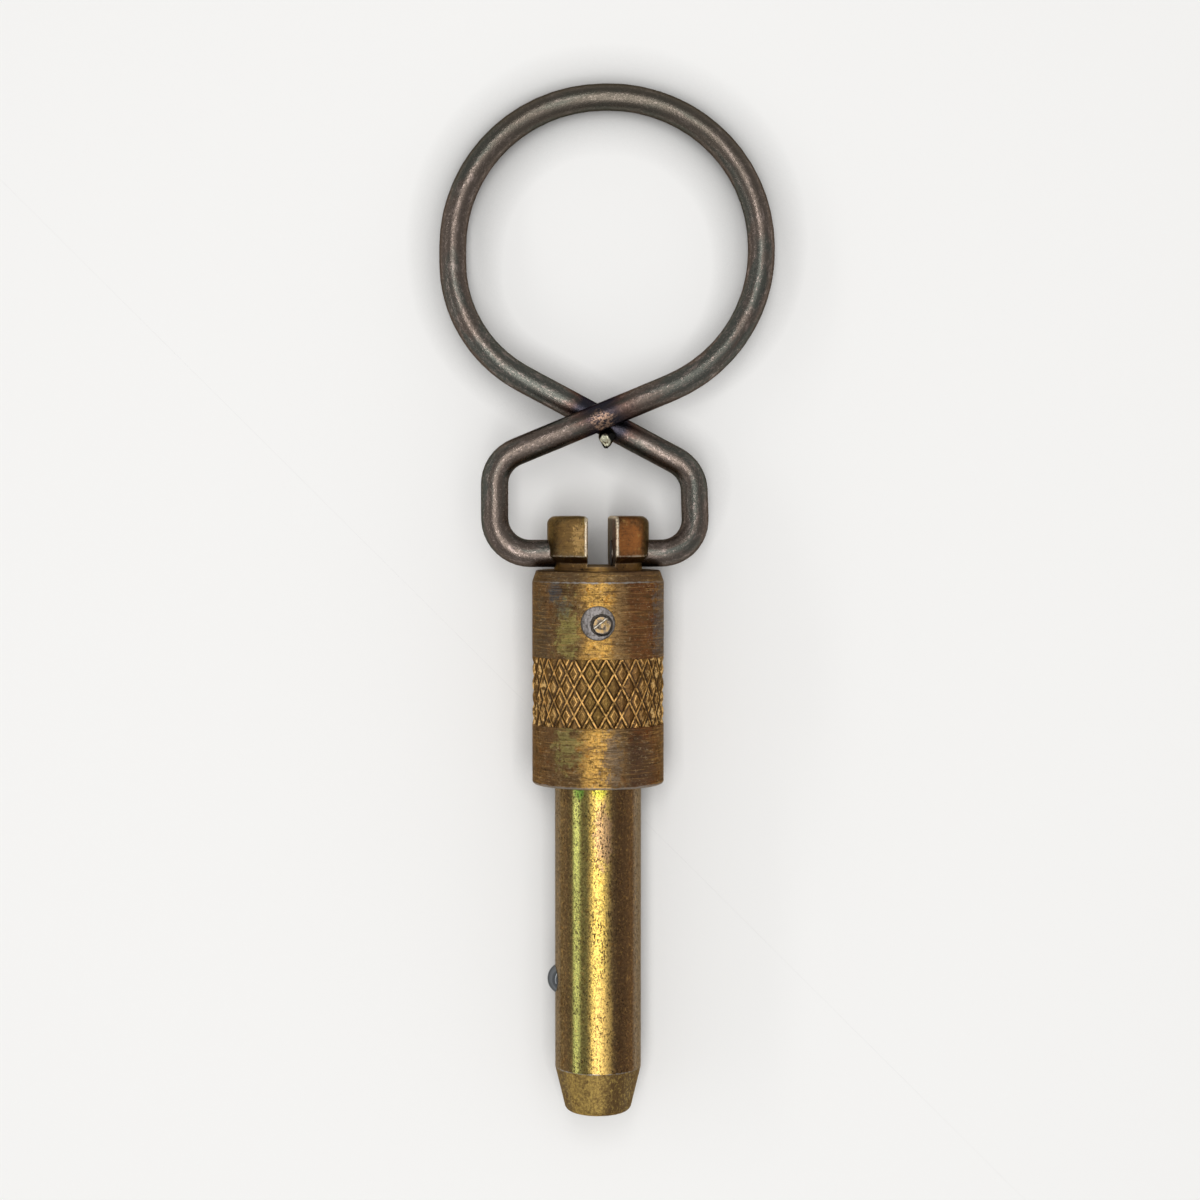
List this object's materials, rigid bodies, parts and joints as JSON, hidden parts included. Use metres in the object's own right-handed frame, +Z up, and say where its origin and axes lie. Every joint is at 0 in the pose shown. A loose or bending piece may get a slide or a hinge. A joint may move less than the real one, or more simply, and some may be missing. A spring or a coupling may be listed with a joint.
{
  "type": "quick release pin",
  "caption": "Ball-lock quick release pin with a knurled collar, a forked head and a swinging bent-wire ring handle; pulling the ring frees the locking ball.",
  "frame": {"origin": "centre of the collar's shoulder, where the shank leaves it and the grip begins", "axes": "+X along the shank towards the nose, +Z up as the pin lies on its side, the locking ball on the -Y side"},
  "size_m": [0.1141, 0.0374, 0.0145],
  "materials": {
    "plated_steel": "satin yellow-plated, worn",
    "pin_steel": "turned, bare",
    "rod_steel": "ground, oiled",
    "spring_steel": "drawn wire",
    "ball_steel": "polished",
    "wire_steel": "satin, heat-tinted at the weld"
  },
  "bodies": {
    "barrel": {"shank": "plated_steel", "collar": "plated_steel", "cross_pin": "pin_steel", "return_spring": "spring_steel"},
    "plunger": {"spindle": "plated_steel", "locking_rod": "rod_steel"},
    "ball": {"locking_ball": "ball_steel"},
    "ring": {"ring_handle": "wire_steel"}
  },
  "joints": [
    {"name": "spindle_pull", "type": "slide", "parent": "barrel", "child": "plunger", "axis": [-1, 0, 0], "range_m": [0, 0.003], "stiffness_N_per_m": 1500, "springref_m": -0.004, "deforming": ["return_spring"]},
    {"name": "ball_retract", "type": "slide", "parent": "barrel", "child": "ball", "axis": [0, 1, 0], "range_m": [0, 0.00088]},
    {"name": "ring_swing", "type": "hinge", "parent": "plunger", "child": "ring", "pos_m": [-0.02535, 0, 0], "axis": [0, 0.9969, -0.0782], "range_deg": [-123, 136]}
  ],
  "couplings": [
    {"joint": "ball_retract", "follows": "spindle_pull", "ratio": 0.29}
  ]
}
